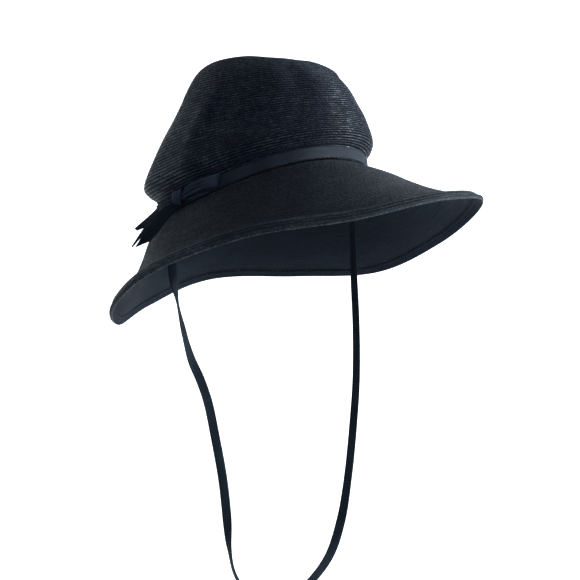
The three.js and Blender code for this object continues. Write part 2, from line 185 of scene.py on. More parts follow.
def two_sided(grid, thickness, loop=False):
    """Closed sections of a sheet of that thickness, with its grid of points in the middle."""
    off = grid_normals(grid, loop) * thickness / 2
    return np.concatenate([grid + off, (grid - off)[:, ::-1]], axis=1)


def map_round(values):
    """A sheet's across values, carried round both of its faces."""
    return np.concatenate([values, values[::-1], values[:1]])


# %% [markdown]
# ## Shader sums as plain Python
#
# A finish is mostly arithmetic on a pattern: a wave here, less of it there. The small class
# below wraps one socket, so that `1 - ridge * 0.5` adds its Math nodes by itself. Colours have
# their own method, because a Math node would turn them grey.

# %% Shader class
class Shade:
    """One socket of a finish. Arithmetic on it adds Math nodes."""

    def __init__(self, finish, socket):
        self.finish = finish
        self.socket = socket

    def math(self, operation, *others):
        values = dict(enumerate([self, *others]))
        return self.finish.node("ShaderNodeMath", {"operation": operation}, values)

    def __add__(self, other):
        return self.math("ADD", other)

    def __sub__(self, other):
        return self.math("SUBTRACT", other)

    def __rsub__(self, other):
        return self.finish.node("ShaderNodeMath", {"operation": "SUBTRACT"}, {0: other, 1: self})

    def __mul__(self, other):
        return self.math("MULTIPLY", other)

    def __truediv__(self, other):
        return self.math("DIVIDE", other)

    __radd__ = __add__
    __rmul__ = __mul__

    def between(self, low, high):
        """0 at low and under, 1 at high and over."""
        settings = {"interpolation_type": "SMOOTHSTEP"}
        ends = {"Value": self, "From Min": low, "From Max": high}
        return self.finish.node("ShaderNodeMapRange", settings, ends)

    def colours(self, first, second):
        """Blends two colours by this value."""
        settings = {"data_type": "RGBA"}
        return self.finish.node("ShaderNodeMix", settings, {0: self, 6: first, 7: second}, 2)


class Finish:
    """A material in the making, with one Principled shader."""

    def __init__(self, name):
        self.material = bpy.data.materials.new(name)
        self.material.use_nodes = True
        self.tree = self.material.node_tree
        self.shader = self.tree.nodes["Principled BSDF"]

    def node(self, kind, settings, values, output=0):
        made = self.tree.nodes.new(kind)
        for name, value in settings.items():
            setattr(made, name, value)
        for name, value in values.items():
            if isinstance(value, Shade):
                self.tree.links.new(value.socket, made.inputs[name])
            else:
                made.inputs[name].default_value = value
        return Shade(self, made.outputs[output])

    def feed(self, name, value):
        if isinstance(value, Shade):
            self.tree.links.new(value.socket, self.shader.inputs[name])
        else:
            self.shader.inputs[name].default_value = value

    def braid_map(self):
        """Along, in mm, and across, in rows or mm, from the piece's own flat map."""
        flat = self.node("ShaderNodeUVMap", {"uv_map": "braid"}, {})
        return [self.node("ShaderNodeSeparateXYZ", {}, {0: flat}, k) for k in (0, 1)]

    def place(self, along, across, third=0.0):
        return self.node("ShaderNodeCombineXYZ", {}, {0: along, 1: across, 2: third})

    def noise(self, where, scale, detail=2.0, roughness=0.5):
        values = {"Vector": where, "Scale": scale, "Detail": detail, "Roughness": roughness}
        return self.node("ShaderNodeTexNoise", {}, values)

    def bump(self, height, distance, strength=1.0):
        values = {"Height": height, "Distance": distance, "Strength": strength}
        self.feed("Normal", self.node("ShaderNodeBump", {}, values))


# %% [markdown]
# ## Ribbed ribbon
#
# The band, the bow and the strap are grosgrain: a silky warp over thick weft cords, so the
# ribbon is a row of fine ribs across its width, about one to a millimetre. A picture would do
# it, but a wave along the ribbon's own length stays sharp at any distance and follows every
# fold. The selvedge on both edges is flatter and a little darker on the real ribbon; here only
# the strap's is made thinner. Handling leaves the ribs a shade greyer in places.

# %% Ribbon finish
RIB_PITCH = 0.95  # mm
WARP_PITCH = 0.42
TURN = 2 * math.pi


def ribbon_finish(name, dark, worn, roughness):
    finish = Finish(name)
    along, across = finish.braid_map()
    rib = (along * (TURN / RIB_PITCH)).math("SINE") * 0.5 + 0.5
    warp = (across * (TURN / WARP_PITCH) + along * 0.9).math("SINE") * 0.5 + 0.5
    solid = finish.node("ShaderNodeTexCoord", {}, {}, 3)
    cloudy = finish.noise(solid, 55.0, 3.0, 0.6)
    fuzz = finish.noise(finish.place(along * 2.6, across * 6.0), 1.0, 3.0, 0.7)
    wear = cloudy.between(0.38, 0.72) * 0.55 + rib * 0.3 + fuzz * 0.25
    finish.feed("Base Color", wear.colours(dark, worn))
    finish.feed("Roughness", roughness + cloudy * 0.18 - rib * 0.08)
    finish.shader.inputs["Specular IOR Level"].default_value = 0.12
    finish.bump(rib * 0.75 + warp * 0.14 + fuzz * 0.22, 0.00022, 0.8)
    return finish.material


RIBBON = ribbon_finish("black_grosgrain", (0.0026, 0.0052, 0.0118, 1),
                       (0.0098, 0.0155, 0.025, 1), 0.5)
# The bow's copy of the grosgrain is set paler than the band's: painted light on a bow that sits in
# shade.
BOW_RIBBON = ribbon_finish("bow_grosgrain_painted_light", (0.003, 0.006, 0.015, 1),
                           (0.021, 0.03, 0.05, 1), 0.55)
# The cut ends' copy is set darker than the bow's: painted shade, to dim ends that catch the light.
END_RIBBON = ribbon_finish("cut_end_grosgrain_painted_shade", (0.0002, 0.0014, 0.0052, 1),
                           (0.0024, 0.007, 0.017, 1), 0.7)
STRAP_RIBBON = ribbon_finish("black_strap_ribbon", (0.0016, 0.0042, 0.0095, 1),
                             (0.0065, 0.0115, 0.02, 1), 0.55)
print("finishes:", RIBBON.name, BOW_RIBBON.name, END_RIBBON.name, STRAP_RIBBON.name)

# %% [markdown]
# ## The head line, and how the hat sits
#
# Everything is measured from the head line, the oval where crown and brim meet. It is 198 by
# 162 mm outside, and rises and falls twice on its way round, as it does on a real head. The hat
# is worn a little to the back, so all but the strap is tipped at the end.

# %% The head line
HEAD_HALF_LENGTH = 99
HEAD_HALF_WIDTH = 81
HEAD_LINE_WAVE = 6.6
HEAD_LINE_CREST = -27
STRAW = 1.5
GAP = 0.3


def turning(axis, degrees):
    return np.array(Matrix.Rotation(math.radians(degrees), 3, axis))


WORN = turning("X", -11) @ turning("Y", -3)


def as_worn(points):
    return points @ WORN.T


def head_line_rise(turn):
    return HEAD_LINE_WAVE * np.cos(2 * np.radians(turn - HEAD_LINE_CREST))


def by_head_line(turn, out, height):
    """A point at a distance out from the foot of the crown, and a height over the head line.
    turn is 0 in front and 90 at the wearer's left."""
    angle = np.radians(turn)
    sine, cosine = np.sin(angle), np.cos(angle)
    flat = unit(np.stack([HEAD_HALF_LENGTH * sine, -HEAD_HALF_WIDTH * cosine], -1))
    x = HEAD_HALF_WIDTH * sine + flat[..., 0] * out
    y = -HEAD_HALF_LENGTH * cosine + flat[..., 1] * out
    return np.stack(np.broadcast_arrays(x, y, head_line_rise(turn) + height), -1)


print("head line round:", round(sum(np.linalg.norm(np.diff(
    by_head_line(np.linspace(0, 360, 361), 0, 0), axis=0), axis=1))), "mm")

# %% [markdown]
# ## The chin strap
#
# One length of ribbon, sewn inside the crown at both sides, hangs in a long loop. It is limp,
# so it falls straight down from where it leaves the hat, and it twists as ribbon does: its
# face turns slowly and it looks narrow where the edge comes round. The route is the same list
# of points as the solid's, and only the ribbon's own section is finer here.

# %% Strap route
STRAP_WIDTH = 8.2
STRAP_THICK = 0.7
STRAP_WALL_OUT = -2.9
STRAP_ENDS = ((-120, 9), (-120, -4)), ((62, -4), (62, 9))
STRAP_HANGS = [
    [-66, 47.5, -40], [-63.2, 48.8, -62], [-59.3, 48.6, -86], [-55.8, 45, -112],
    [-48.7, 39.9, -145], [-42.3, 34.7, -164], [-36.5, 30.9, -184], [-31.7, 26.9, -214],
    [-26.6, 22.8, -250], [-23.4, 20.5, -285], [-22, 19, -312], [-18, 15, -336],
    [-9, 6, -353], [6, -8, -361], [20, -20, -356], [33.5, -31.7, -340], [44.1, -41.4, -320],
    [51.9, -48.2, -289],
    [57.6, -51.8, -250], [61.9, -54.2, -205], [66.1, -54.4, -165], [68.5, -52.7, -120],
    [69, -50, -75], [69, -48.5, -35],
]
STRAP_TWIST = [  # share of the length, and degrees that the face has turned
    (0, 80), (0.03, 80), (0.072, 14), (0.114, -64), (0.148, -43), (0.2, 0), (0.34, 10),
    (0.41, 84), (0.47, 60), (0.53, 12), (0.66, -50), (0.86, -60), (0.97, -78), (1, -78),
]
LOOP_FACE = np.array([-0.577, -0.817, 0])


def slack_curve(points, per_span):
    """A curve through uneven points that doesn't overshoot where they lie close together."""
    points = np.vstack([2 * points[0] - points[1], points, 2 * points[-1] - points[-2]])
    made = []
    for a, b, c, d in zip(points, points[1:], points[2:], points[3:]):
        before, here, after = (np.linalg.norm(q - p) ** 0.5 for p, q in ((a, b), (b, c), (c, d)))
        leave = ((b - a) / before - (c - a) / (before + here) + (c - b) / here) * here
        arrive = ((c - b) / here - (d - b) / (here + after) + (d - c) / after) * here
        t = np.linspace(0, 1, per_span, endpoint=False)[:, None]
        made.append(b + leave * t + (3 * (c - b) - 2 * leave - arrive) * t ** 2
                    + (2 * (b - c) + leave + arrive) * t ** 3)
    return np.vstack([*made, points[-2]])


def evenly(line, count):
    """The same line with count points at even steps, and how far along each lies."""
    travelled = np.concatenate([[0], np.cumsum(np.linalg.norm(np.diff(line, axis=0), axis=1))])
    far = np.linspace(0, travelled[-1], count)
    return np.stack([np.interp(far, travelled, line[:, k]) for k in range(3)], -1), far


wall = [as_worn(by_head_line(np.array(turn), STRAP_WALL_OUT, height))
        for end in STRAP_ENDS for turn, height in end]
strap_points = np.vstack([wall[:2], STRAP_HANGS, wall[2:]])
STRAP_STEPS = 520
strap_line, strap_far = evenly(slack_curve(strap_points, 24), STRAP_STEPS)
STRAP_LENGTH = strap_far[-1]
print("strap:", round(STRAP_LENGTH), "mm long")

# %% Strap mesh
def strap_sections():
    tangent = unit(np.gradient(strap_line, axis=0))
    face = unit(LOOP_FACE - tangent * (tangent @ LOOP_FACE)[:, None])
    share = strap_far / STRAP_LENGTH
    table = np.array(STRAP_TWIST, float)
    low = np.clip(np.searchsorted(table[:, 0], share, side="left") - 1, 0, len(table) - 2)
    ease = smoothstep(share, table[low, 0], table[low + 1, 0])
    turned = np.radians(table[low, 1] + (table[low + 1, 1] - table[low, 1]) * ease)[:, None]
    face = face * np.cos(turned) + np.cross(tangent, face) * np.sin(turned)
    wide = np.cross(face, tangent)
    across = np.linspace(-1, 1, 13)
    cup = 0.32 * np.sin(strap_far / 31) + 0.2 * np.sin(strap_far / 13 + 2)
    bow = (1 - across ** 2)[None, :] * cup[:, None]
    selvedge = 0.5 + 0.5 * smoothstep(np.abs(across), 1, 0.86)
    middle = (strap_line[:, None] + wide[:, None] * across[None, :, None] * STRAP_WIDTH / 2
              + face[:, None] * bow[..., None])
    off = face[:, None] * (selvedge * STRAP_THICK / 2)[None, :, None]
    return np.concatenate([middle + off, (middle - off)[:, ::-1]], axis=1), across


sections, across = strap_sections()
along = np.append(strap_far, strap_far[-1])[:, None]
strap = make_piece("strap_ribbon", sections, map_round(across * STRAP_WIDTH / 2)[None, :], along,
                   STRAP_RIBBON, nodes=["chin_strap"])

# %% [markdown]
# ## Sewn straw braid
#
# The braid is a flat plait of split straw, about 3 mm of each row showing. Strands cross on
# the slant, over and under, and each row laps the one before it, so light picks out a ridge
# with a beaded look and leaves a dark groove. Real ridges in the mesh give the outline and the
# long shadows, and the colour paints that light as well: crests and beads paler as painted
# highlight, with random glints, and grooves darker as painted shade. The strands are finer
# than a mesh can carry, so two slanting waves in the bump make the plait, and thin streaks
# along them make the straw's own fibres. An underside is the less glossy face of the braid:
# its rows are flat and it doesn't shine, and its colour is set darker as painted shade under
# the brim.

# %% Straw finish
PLAIT_PITCH = 4.1  # mm along the row
UNDER_ROWS = 64  # the rows of an underside are numbered from here


def straw_finish(name, dark, light, gloss, beads, marks=None):
    """gloss is the most that the straw shines, and beads how much the strands stand out. The
    last argument, if given, paints light and shade: places lighter or darker than the rest."""
    finish = Finish(name)
    along, row = finish.braid_map()
    solid = finish.node("ShaderNodeTexCoord", {}, {}, 3)
    wander = finish.noise(finish.place(along * 0.11, row * 0.9), 1.0, 2.0, 0.6) - 0.5
    uneven = row + wander * 0.35
    run = along * (1 / PLAIT_PITCH) + wander * 2.4 + uneven.math("FLOOR") * 0.37
    crest = (uneven * math.pi).math("SINE").math("ABSOLUTE")
    bead = (run * math.pi).math("SINE").math("ABSOLUTE")
    slant = ((run * 2 + uneven) * TURN).math("SINE") * 0.5 + 0.5
    cell = finish.place(run.math("FLOOR"), uneven.math("FLOOR"))
    settings = {"noise_dimensions": "2D"}
    glint = finish.node("ShaderNodeTexWhiteNoise", settings, {"Vector": cell})
    streaks = finish.place(along * 1.3 + row * 2.0, along * 0.8 - row * 9.0)
    fibre = finish.noise(streaks, 1.6, 3.0, 0.65)
    cloudy = finish.noise(solid, 24.0, 4.0, 0.6)
    each_row = finish.noise(finish.place(along * 0.012, uneven.math("FLOOR") * 3.7), 1.0, 1.0, 0.5)
    # painted highlight on crests and beads, with random glints, and painted shade in the grooves
    ridge_light_and_shade = crest * (0.25 + bead * 0.5 + glint * 0.25)
    under = row.between(UNDER_ROWS - 8, UNDER_ROWS - 4)
    tone = ridge_light_and_shade * (0.75 - under * 0.55) + fibre * (0.2 + under * 0.2) + (cloudy - 0.5) * 0.4
    tone = tone + (each_row - 0.5) * (0.5 - under * 0.3) + under * 0.2
    if marks:
        tone = tone + marks(finish, along, row)
    tone = tone.between(0.24, 0.88)
    # the underside's colours are set darker: painted shade under the brim
    painted_underside_shade = tone.colours((0.002, 0.0043, 0.0087, 1), (0.0066, 0.0114, 0.0195, 1))
    finish.feed("Base Color", under.colours(tone.colours(dark, light), painted_underside_shade))
    shine = crest.between(0.45, 0.95) * (0.15 + glint * glint * 0.85) * (0.35 + bead * 0.65)
    finish.feed("Coat Weight", shine * cloudy.between(0.15, 0.75) * gloss * (1 - under))
    finish.feed("Roughness", 0.62 - ridge_light_and_shade * 0.14 + cloudy * 0.08 + under * 0.25)
    finish.shader.inputs["Coat Roughness"].default_value = 0.3
    finish.shader.inputs["Specular IOR Level"].default_value = 0.13
    height = crest * 0.55 + (bead * 0.5 + slant * 0.3 + glint * 0.35) * crest * beads + fibre * 0.15
    finish.bump(height * (1 - under * 0.7), 0.0008, 1.0)
    return finish.material


# The crown, brim and rim fold are one braid in three copies. The brim's and the fold's colours are
# set paler than the crown's, as painted light.
CROWN_STRAW = straw_finish("black_straw_crown", (0.0003, 0.0011, 0.0052, 1),
                           (0.009, 0.0165, 0.034, 1), 0.95, 1.0)
BRIM_STRAW = straw_finish("black_straw_brim", (0.0026, 0.0042, 0.0078, 1),
                          (0.014, 0.0182, 0.0245, 1), 0.26, 1.0)


def rim_painted_light(finish, along, row):
    """Painted highlight on the crest of the roll and on the rim itself, with dark gaps along the
    rim; the grooves are painted paler and the face that turns down gets painted shade.
    """
    crest = 1 - row.between(1.0, 1.9)
    rim_edge = row.between(3.9, 4.15) * (1 - row.between(4.6, 5.0))
    gaps = finish.noise(finish.place(along * 0.22, row * 0.2), 1.0, 2.0, 0.6).between(0.5, 0.6)
    turned_down_shade = row.between(1.4, 2.1) * (1 - row.between(3.7, 4.0))
    groove = 1 - (row * math.pi).math("SINE").math("ABSOLUTE")
    # painted highlight on the crest, the grooves and the rim edge; painted shade on the face that
    # turns down
    pale = crest * 0.3 + groove * 0.3 + rim_edge * (0.12 - gaps * 0.45)
    return pale - turned_down_shade * 0.12


HEM_STRAW = straw_finish("black_straw_hem", (0.003, 0.0052, 0.009, 1),
                         (0.019, 0.027, 0.036, 1), 0.45, 1.2, rim_painted_light)
print("finishes:", CROWN_STRAW.name, BRIM_STRAW.name, HEM_STRAW.name)

# %% [markdown]
# ## The crown
#
# It bulges over the ribbon, leans to the back and ends in a low round top. Steam and storage
# have left it one soft upright crease at the wearer's right, a small dent near the top and
# some long shallow hollows. The form is a table of oval sections with those folds pressed in,
# and the rows of braid lie along it at an even distance, from the foot to the tip.

# %% Crown form
CROWN_ROWS = np.array([  # height, half length, half width, shift to the back, dip in degrees
    (0, 99, 81, 0, 0),
    (12, 99.5, 81.7, 0, 0),
    (18, 105.5, 88, 0, 0.3),
    (27, 108.5, 91, -0.4, 0.8),
    (48, 98, 83.5, -9, 3),
    (70, 85, 74, -19, 5.4),
    (90, 72.5, 64, -24, 7.6),
    (104, 59.5, 53.5, -23, 9),
    (113, 43, 39.5, -18.5, 9),
    (119, 24, 22, -13, 9),
    (121.5, 0, 0, -6, 9),
])
CROWN_TOP = len(CROWN_ROWS) - 1
CROWN_FOLDS = [  # turn, spread, height, tall, depth
    (-93, 6, 46, 38, -2.2),
    (-80, 10, 50, 38, 2.6),
    (-110, 10, 40, 26, 1.4),
    (36, 30, 104, 15, 2.1),
    (12, 13, 104, 11, -3.6),
    (25, 14, 76, 20, 2.6),
    (-140, 34, 102, 15, -1.2),
    (-58, 26, 62, 34, 2.2),
    (-34, 9, 86, 20, 2.4),
    (128, 22, 66, 36, 2.6),
    (-170, 18, 58, 30, 2.2),
    (75, 12, 88, 18, 1.6),
]
CROWN_DENTS = [  # pressed down from above: middle x and y, how far it spreads, depth
    (27, -52, 9, 2.6),
    (34, -66, 7, -0.9),
    (-34, 8, 15, -1.5),
    (-4, -42, 14, 2.2),
    (4, -60, 7, 1.6),
]


def fold_depth(turn, height):
    depth = 0
    for at, spread, middle, tall, deep in CROWN_FOLDS:
        sideways = ((turn - at + 180) % 360 - 180) / spread
        depth = depth + deep * np.exp(-sideways ** 2 - ((height - middle) / tall) ** 4)
    return depth * smoothstep(height, 11.9, 22.9)


def crown_surface(turn, place):
    mirrored = CROWN_ROWS[-2] * (1, -1, -1, 1, 1)
    row = smooth_rows(np.vstack([CROWN_ROWS, mirrored]), np.minimum(place, CROWN_TOP))
    height, half_length, half_width, shift, dip = np.moveaxis(row, -1, 0)
    inwards = fold_depth(turn, height) * np.minimum(1, half_width / CROWN_ROWS[-2, 2])
    angle = np.radians(turn)
    x = (half_width - inwards) * np.sin(angle)
    y = shift - (half_length - inwards) * np.cos(angle)
    wave = head_line_rise(turn) * np.maximum(0, 1 - height / 60)
    high = height + wave + y * np.tan(np.radians(dip))
    for middle_x, middle_y, spread, deep in CROWN_DENTS:
        near = np.exp(-((x - middle_x) ** 2 + (y - middle_y) ** 2) / spread ** 2)
        high = high - deep * near * smoothstep(height, 96, 108)
    return np.stack(np.broadcast_arrays(x, y, high), -1)


def even_levels(surface, first, last, pitch, per_row):
    """Places on a surface at even steps along it, per_row of them to each row of braid."""
    fine = np.linspace(first, last, 500)
    grid = surface(np.arange(0, 360, 10)[:, None], fine[None, :])
    travelled = np.linalg.norm(np.diff(grid, axis=1), axis=2).mean(0).cumsum()
    travelled = np.concatenate([[0], travelled])
    rows = round(travelled[-1] / pitch)
    levels = np.linspace(0, travelled[-1], rows * per_row + 1)
    return np.interp(levels, travelled, fine), np.arange(rows * per_row + 1) / per_row


# %% Crown mesh
CROWN_PITCH = 2.75
CROWN_TURNS = 300
CROWN_RIDGE = 0.75
CROWN_SUNK = 0.42  # the grooves lie that far under the wall, so the ridges stand less over it


def around(count):
    return (360 * np.arange(count) / count)[:, None]


def round_map(line):
    """How far along a closed line each of its points lies, and the last back at the first."""
    ring = np.vstack([line, line[:1]])
    return np.concatenate([[0], np.cumsum(np.linalg.norm(np.diff(ring, axis=0), axis=1))])


def crown_sections():
    turns = around(CROWN_TURNS)
    outer_place, outer_row = even_levels(crown_surface, 0, CROWN_TOP, CROWN_PITCH, 4)
    inner_place, inner_row = even_levels(crown_surface, 0, CROWN_TOP, CROWN_PITCH, 1)
    outer = crown_surface(turns, outer_place[None, :])
    inner = crown_surface(turns, inner_place[None, :])
    ridge = CROWN_RIDGE * np.abs(np.sin(math.pi * outer_row)) ** 0.6 - CROWN_SUNK
    fading = smoothstep(outer_row, outer_row[-1], outer_row[-1] - 2)
    out = grid_normals(outer, True)
    outer = outer - out * (ridge * fading)[None, :, None] * np.sign((out[0, 8] @ (0, -1, 0)) * -1)
    deep = grid_normals(inner, True)
    inner = inner + deep * STRAW * np.sign((deep[0, 2] @ (0, -1, 0)) * -1)
    outer[:, -1] = outer[:, -1].mean(0)
    inner[:, -1] = inner[:, -1].mean(0)
    sections = np.concatenate([outer, inner[:, ::-1]], axis=1)
    rows = np.concatenate([outer_row, inner_row[::-1], outer_row[:1]])
    return sections, rows


sections, rows = crown_sections()
belly = round_map(sections[:, 44])[:, None]
make_piece("crown_braid", as_worn(sections), rows[None, :], belly,
           CROWN_STRAW, loop=True, nodes=["crown"])

# %% [markdown]
# ## The brim
#
# A broad sheet of the same braid falls from the head line and flares out in slow waves: low at
# the back, higher at the wearer's front left. The rim is given at every thirtieth degree by how
# far it stands out and how far it hangs down, and the fall between head line and rim is one
# curve shared by all. Both faces have rows, because the underside shows.

# %% Brim form
RIM_FIRST_TURN = -180
RIM_ROWS = [  # reach, drop
    (58.5, 74), (55.5, 86), (65.5, 71.5), (77.5, 59), (80, 56.5), (80.5, 62),
    (89, 51.5), (93, 44.5), (79.7, 58.8), (73.2, 72.7), (73, 66), (72.5, 57.5),
]
BRIM_FALL = [(0, 0), (0.24, 0.235), (0.42, 0.475), (0.6, 0.685), (0.8, 0.855), (1, 1)]
BRIM_PITCH = 2.7
BRIM_TURNS = 330
BRIM_RIDGE = 0.42
BRIM_SUNK = 0.25
EDGE_INSET = 1.4
ROLL_INSET = 8.5
ROLL_SPREAD = 9, 4.5  # towards the crown and towards the rim
ROLL_HEIGHT = 1.9
ROLL_NEARER = 1.3  # added on the camera's side and taken off on the far side


def rim_row(turn):
    place = (turn - RIM_FIRST_TURN) / 360 * len(RIM_ROWS)
    return np.moveaxis(smooth_rows(RIM_ROWS, place, closed=True), -1, 0)


def brim_surface(turn, share):
    reach, drop = rim_row(turn)
    out, down = np.moveaxis(smooth_rows(BRIM_FALL, share * (len(BRIM_FALL) - 1)), -1, 0)
    return by_head_line(turn, reach * out, -GAP - drop * down)


def brim_normals(turn, share):
    """Directions out of the top of the brim."""
    step = 0.002
    low, high = np.maximum(share - step, 0), np.minimum(share + step, 1)
    down = brim_surface(turn, high) - brim_surface(turn, low)
    sideways = brim_surface(turn + 1, share) - brim_surface(turn - 1, share)
    return unit(np.cross(down, sideways))


def inset_share(turn, inset):
    """The share of the brim's fall that lies that far inside the rim."""
    reach, drop = rim_row(turn)
    return 1 - inset / np.hypot(reach, drop)


def rim_roll(turn, share):
    """How far the brim stands up in a soft roll, before it turns down to its rim."""
    reach, drop = rim_row(turn)
    inset = (1 - share) * np.hypot(reach, drop)
    spread = np.where(inset > ROLL_INSET, *ROLL_SPREAD)
    high = ROLL_HEIGHT + ROLL_NEARER * np.cos(np.radians(turn - VIEW_TURN))
    return high * np.exp(-((inset - ROLL_INSET) / spread) ** 2)


def brim_point(turn, share, depth):
    """A point that far under the brim's upper face."""
    sunk = np.asarray(depth) - rim_roll(turn, share)
    return brim_surface(turn, share) - brim_normals(turn, share) * sunk[..., None]


# %% Brim mesh
def brim_sections():
    turns = around(BRIM_TURNS)
    reach, drop = rim_row(turns)
    rows = round(float(np.hypot(reach, drop).mean()) / BRIM_PITCH)
    row = np.arange(rows * 3 + 1) / 3
    share = row[None, :] / rows * inset_share(turns, EDGE_INSET)
    welt = 1 + 1.8 * smoothstep(row, 3.2, 1.4)
    ridge = (BRIM_RIDGE * np.abs(np.sin(math.pi * row)) ** 0.6 - BRIM_SUNK) * welt
    fading = smoothstep(row, 0, 1) * smoothstep(row, row[-1], row[-1] - 1)
    top = brim_point(turns, share, -(ridge * fading)[None, :])
    under = brim_point(turns, share, STRAW + (ridge * fading)[None, :] * 0.1)
    foot = by_head_line(turns, -STRAW, -GAP)
    heel = by_head_line(turns, -STRAW, -GAP - STRAW)
    sections = np.concatenate([foot, top, under[:, ::-1], heel], axis=1)
    inner_row = UNDER_ROWS - 0.5
    rows = np.concatenate([[-0.5], row, UNDER_ROWS + row[::-1], [inner_row, inner_row]])
    return sections, rows


sections, rows = brim_sections()
middle = round_map(sections[:, 60])[:, None]
make_piece("brim_braid", as_worn(sections), rows[None, :], middle,
           BRIM_STRAW, loop=True, nodes=["brim"])

# %% [markdown]
# ## The folded rim
#
# The last rows are turned over and sewn down, which gives the rim its body. The fold is about
# 10 mm wide and thin, so it is a narrow U in section that holds the brim's edge. On top it is
# pressed flat where it starts, so no step shows there, and the rim itself is round. The turned
# part pulls the brim into a soft roll, most on the side that is nearest to the camera.

# %% Fold at the rim
HEM_WIDTH = 10
HEM_THICK = 0.8
HEM_PRESSED = 0.35  # thickness of its upper edge
HEM_LEG_END = EDGE_INSET + 0.4


def hem_sections():
    turns = around(BRIM_TURNS)
    insets = np.linspace(HEM_WIDTH, HEM_LEG_END, 13)
    leg_row = 0.4 + (HEM_WIDTH - insets) / BRIM_PITCH
    rib = 0.1 * np.abs(np.sin(math.pi * leg_row)) ** 0.7
    sunk = 0.25 * smoothstep(insets, 5, HEM_LEG_END)
    thickness = HEM_THICK + rib - sunk
    rise = smoothstep(insets, HEM_WIDTH, HEM_WIDTH - 2.2)
    pressed = HEM_PRESSED + (thickness - HEM_PRESSED) * rise
    bend = np.linspace(0, math.pi, 7)
    middle = STRAW / 2
    round_out = middle + GAP + HEM_THICK
    edge_inset = 0.9 - 0.7 * np.sin(bend)
    edge_depth = middle - round_out * np.cos(bend)

    def leg(depth):
        return brim_point(turns, inset_share(turns, insets[None, :]), depth)

    top = leg(-pressed[None, :])
    edge = brim_point(turns, inset_share(turns, edge_inset[None, :]), edge_depth[None, :])
    under = leg(STRAW + thickness[None, :])[:, ::-1]
    inner = insets[[0, 4, 8, 12]]
    close = brim_point(turns, inset_share(turns, inner[None, :]), np.full((1, 4), STRAW + GAP / 2))
    back = brim_point(turns, inset_share(turns, inner[None, ::-1]), np.full((1, 4), -GAP / 2))
    sections = np.concatenate([top, edge, edge[:, -1:], under, close, back], axis=1)
    edge_row = leg_row[-1] + np.linspace(0.1, 1.3, 7)
    under_row = UNDER_ROWS + 1.5 + leg_row[::-1]
    rows = np.concatenate([leg_row, edge_row, [under_row[0] + 0.3], under_row,
                           leg_row[[0, 4, 8, 12]], leg_row[[12, 8, 4, 0]], leg_row[:1]])
    return sections, rows


sections, rows = hem_sections()
rim = round_map(sections[:, 15])[:, None]
make_piece("rim_fold", as_worn(sections), rows[None, :], rim,
           HEM_STRAW, loop=True, nodes=["brim_hem"])
RIM_LENGTH = rim[-1, 0]
print("rim:", round(RIM_LENGTH), "mm round")

# %% [markdown]
# ## Hand stitches under the rim
#
# Short stitches hold the fold on the underside, one to about 4.4 mm. They are so small that a
# picture could carry them, but each is a real thread here: a small rounded bar that dips into
# the straw at both ends.

# %% Stitches
STITCH_STEP = 4.4
STITCH_DEPTH = STRAW + 0.35


def bars(middles, halves, ups, thickness):
    """Rounded bars: a middle, half a length and a direction out of the surface for each."""
    sides = rings = 6
    share = np.linspace(-1, 1, rings)
    swell = np.sqrt(np.maximum(1 - share ** 4, 0.02))
    angle = TURN * np.arange(sides) / sides
    ups = unit(ups - unit(halves) * (ups * unit(halves)).sum(-1, keepdims=True))
    beside = np.cross(unit(halves), ups)
    radius = thickness / 2 * swell
    arch = (1 - share ** 2) * thickness * 0.35
    rise = radius[:, None] * np.sin(angle) + arch[:, None]
    swing = radius[:, None] * np.cos(angle)
    points = (middles[:, None, None] + halves[:, None, None] * share[None, :, None, None]
              + ups[:, None, None] * rise[None, ..., None]
              + beside[:, None, None] * swing[None, ..., None])
    faces = []
    for bar in range(len(middles)):
        start = bar * rings * sides
        for ring in range(rings - 1):
            for side in range(sides):
                beside_it = (side + 1) % sides
                low, high = start + ring * sides, start + (ring + 1) * sides
                faces.append([low + side, low + beside_it, high + beside_it, high + side])
        faces.append([start + side for side in range(sides)][::-1])
        faces.append([start + (rings - 1) * sides + side for side in range(sides)])
    return points.reshape(-1, 3), faces


def thread_finish(name, colour):
    finish = Finish(name)
    solid = finish.node("ShaderNodeTexCoord", {}, {}, 3)
    ply = finish.noise(solid, 2600.0, 2.0, 0.6)
    darker = tuple(0.55 * c for c in colour[:3]) + (1,)
    finish.feed("Base Color", ply.colours(darker, colour))
    finish.feed("Roughness", 0.5 + ply * 0.3)
    finish.bump(ply, 0.0001, 0.6)
    return finish.material


def stitches(name, middles, along, ups, length, thickness, finish):
    points, faces = bars(as_worn(middles), as_worn(along) * length / 2, as_worn(ups), thickness)
    mesh = bpy.data.meshes.new(name)
    mesh.from_pydata((points * MM).tolist(), [], faces)
    return add_piece(name, mesh, finish)


BLACK_THREAD = thread_finish("black_thread", (0.006, 0.008, 0.011, 1))
rim_far = np.arange(0, RIM_LENGTH, STITCH_STEP)
rim_turn = np.interp(rim_far, rim[:, 0], np.linspace(0, 360, len(rim)))
share = inset_share(rim_turn, HEM_WIDTH + 0.9)
middles = brim_point(rim_turn, share, STITCH_DEPTH)
ahead_of = brim_point(rim_turn + 0.5, share, STITCH_DEPTH)
stitches("rim_stitches", middles, unit(ahead_of - middles), -brim_normals(rim_turn, share),
         1.9, 0.75, BLACK_THREAD)
print(len(middles), "stitches under the rim")

# %% [markdown]
# ## The ribbon band
#
# A narrow grosgrain ribbon is drawn round the foot of the crown. It lies close but never dead
# flat: its edges wander by part of a millimetre, where the ribs give and the crown bulges
# over it. So it is a thin closed strip with slow waves in it.

# %% Band
BAND_LOW = 0.9
BAND_HIGH = 10.9
BAND_THICK = 0.8
BAND_TURNS = 360


